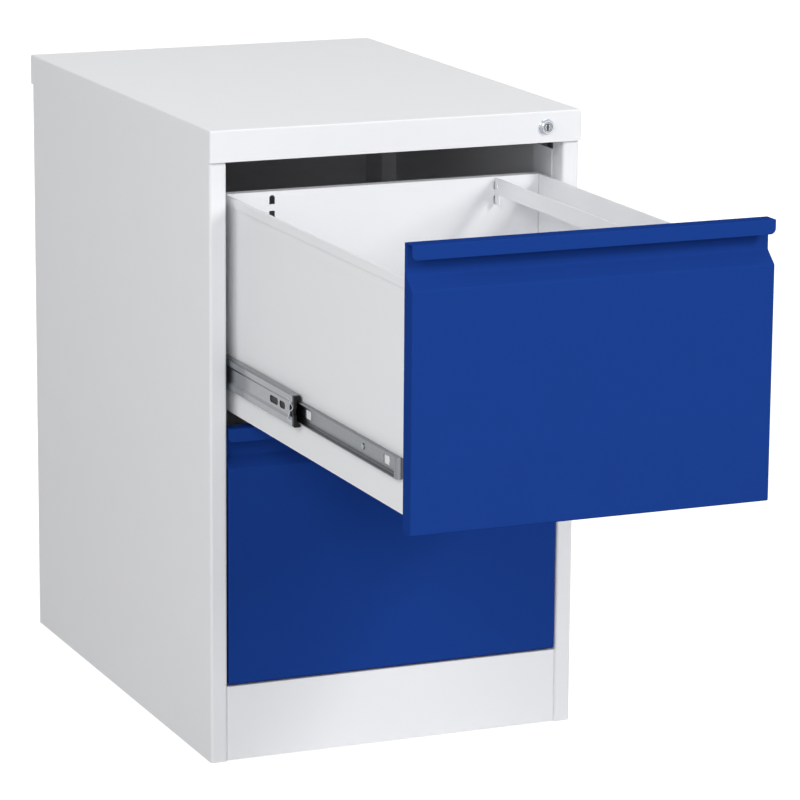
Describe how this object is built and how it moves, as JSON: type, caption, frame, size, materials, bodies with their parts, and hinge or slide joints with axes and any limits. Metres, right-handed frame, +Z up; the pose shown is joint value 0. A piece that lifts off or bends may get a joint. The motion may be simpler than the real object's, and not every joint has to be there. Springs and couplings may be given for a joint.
{
  "type": "filing cabinet",
  "caption": "Narrow sheet-steel filing cabinet with coloured pull-lip drawers on ball-bearing slides, a cam lock that drops a lock bar, and hanging bars inside.",
  "frame": {"origin": "on the floor under the middle of the cap, at the centre of the four foot holes", "axes": "+Z up, the drawers open towards -Y, +X is to the right seen from the front"},
  "size_m": [0.46, 1.165, 0.74],
  "materials": {
    "white_paint": "fine satin powder coat",
    "blue_paint": "fine satin powder coat",
    "galvanised_steel": "plain zinc-coated sheet",
    "zinc_steel": "bright zinc plate",
    "slide_steel": "bright rolled steel",
    "cage_steel": "plain pressed steel with polished balls",
    "chrome": "polished chrome plate",
    "black_plastic": "moulded plastic",
    "guide_plastic": "moulded plastic"
  },
  "bodies": {
    "cabinet": {"top_cap": "white_paint", "header_rail": "white_paint", "left_side_panel": "white_paint", "right_side_panel": "white_paint", "back_panel": "white_paint", "base_panel": "white_paint", "plinth": "white_paint", "base_gussets": "galvanised_steel", "left_front_upright": "white_paint", "right_front_upright": "white_paint", "left_rear_upright": "white_paint", "right_rear_upright": "white_paint", "upper_left_outer_rail": "slide_steel", "upper_right_outer_rail": "slide_steel", "lower_left_outer_rail": "slide_steel", "lower_right_outer_rail": "slide_steel", "rail_screws": "zinc_steel", "lock_barrel": "chrome", "lock_nut": "zinc_steel", "lock_bar_guides": "guide_plastic"},
    "lock_plug": {"lock_plug": "chrome", "lock_cam": "zinc_steel", "lock_cam_screw": "zinc_steel"},
    "lock_bar": {"lock_bar": "zinc_steel"},
    "upper_drawer": {"upper_drawer_front": "blue_paint", "upper_front_liner": "white_paint", "upper_edge_strips": "white_paint", "upper_left_side": "white_paint", "upper_right_side": "white_paint", "upper_drawer_back": "white_paint", "upper_drawer_bottom": "white_paint", "upper_hanging_bar": "white_paint", "upper_left_inner_rail": "slide_steel", "upper_right_inner_rail": "slide_steel", "upper_lock_catch": "zinc_steel", "upper_drawer_screws": "zinc_steel"},
    "upper_middle_rails": {"upper_left_middle_rail": "slide_steel", "upper_right_middle_rail": "slide_steel", "upper_rail_stops": "black_plastic"},
    "upper_outer_cages": {"upper_outer_ball_cages": "cage_steel"},
    "upper_inner_cages": {"upper_inner_ball_cages": "cage_steel"},
    "lower_drawer": {"lower_drawer_front": "blue_paint", "lower_front_liner": "white_paint", "lower_edge_strips": "white_paint", "lower_left_side": "white_paint", "lower_right_side": "white_paint", "lower_drawer_back": "white_paint", "lower_drawer_bottom": "white_paint", "lower_hanging_bar": "white_paint", "lower_left_inner_rail": "slide_steel", "lower_right_inner_rail": "slide_steel", "lower_lock_catch": "zinc_steel", "lower_drawer_screws": "zinc_steel"},
    "lower_middle_rails": {"lower_left_middle_rail": "slide_steel", "lower_right_middle_rail": "slide_steel", "lower_rail_stops": "black_plastic"},
    "lower_outer_cages": {"lower_outer_ball_cages": "cage_steel"},
    "lower_inner_cages": {"lower_inner_ball_cages": "cage_steel"}
  },
  "joints": [
    {"name": "upper_drawer_slide", "type": "slide", "parent": "cabinet", "child": "upper_drawer", "axis": [0, -1, 0], "range_m": [-0.524, 0.006]},
    {"name": "upper_middle_rails_slide", "type": "slide", "parent": "cabinet", "child": "upper_middle_rails", "axis": [0, -1, 0], "range_m": [-0.262, 0.003]},
    {"name": "upper_outer_cages_slide", "type": "slide", "parent": "cabinet", "child": "upper_outer_cages", "axis": [0, -1, 0], "range_m": [-0.131, 0.0015]},
    {"name": "upper_inner_cages_slide", "type": "slide", "parent": "cabinet", "child": "upper_inner_cages", "axis": [0, -1, 0], "range_m": [-0.393, 0.0045]},
    {"name": "lower_drawer_slide", "type": "slide", "parent": "cabinet", "child": "lower_drawer", "axis": [0, -1, 0], "range_m": [0, 0.53]},
    {"name": "lower_middle_rails_slide", "type": "slide", "parent": "cabinet", "child": "lower_middle_rails", "axis": [0, -1, 0], "range_m": [0, 0.265]},
    {"name": "lower_outer_cages_slide", "type": "slide", "parent": "cabinet", "child": "lower_outer_cages", "axis": [0, -1, 0], "range_m": [0, 0.1325]},
    {"name": "lower_inner_cages_slide", "type": "slide", "parent": "cabinet", "child": "lower_inner_cages", "axis": [0, -1, 0], "range_m": [0, 0.3975]},
    {"name": "lock_turn", "type": "hinge", "parent": "cabinet", "child": "lock_plug", "pos_m": [0.1845, -0.3225, 0.722], "axis": [0, 1, 0], "range_deg": [0, 90]},
    {"name": "lock_bar_drop", "type": "slide", "parent": "cabinet", "child": "lock_bar", "axis": [0, 0, -1], "range_m": [0, 0.0137]}
  ],
  "couplings": [
    {"joint": "upper_middle_rails_slide", "follows": "upper_drawer_slide", "ratio": 0.5},
    {"joint": "upper_outer_cages_slide", "follows": "upper_drawer_slide", "ratio": 0.25},
    {"joint": "upper_inner_cages_slide", "follows": "upper_drawer_slide", "ratio": 0.75},
    {"joint": "lower_middle_rails_slide", "follows": "lower_drawer_slide", "ratio": 0.5},
    {"joint": "lower_outer_cages_slide", "follows": "lower_drawer_slide", "ratio": 0.25},
    {"joint": "lower_inner_cages_slide", "follows": "lower_drawer_slide", "ratio": 0.75},
    {"joint": "lock_bar_drop", "follows": "lock_turn", "m_per_rad": 0.0081}
  ]
}
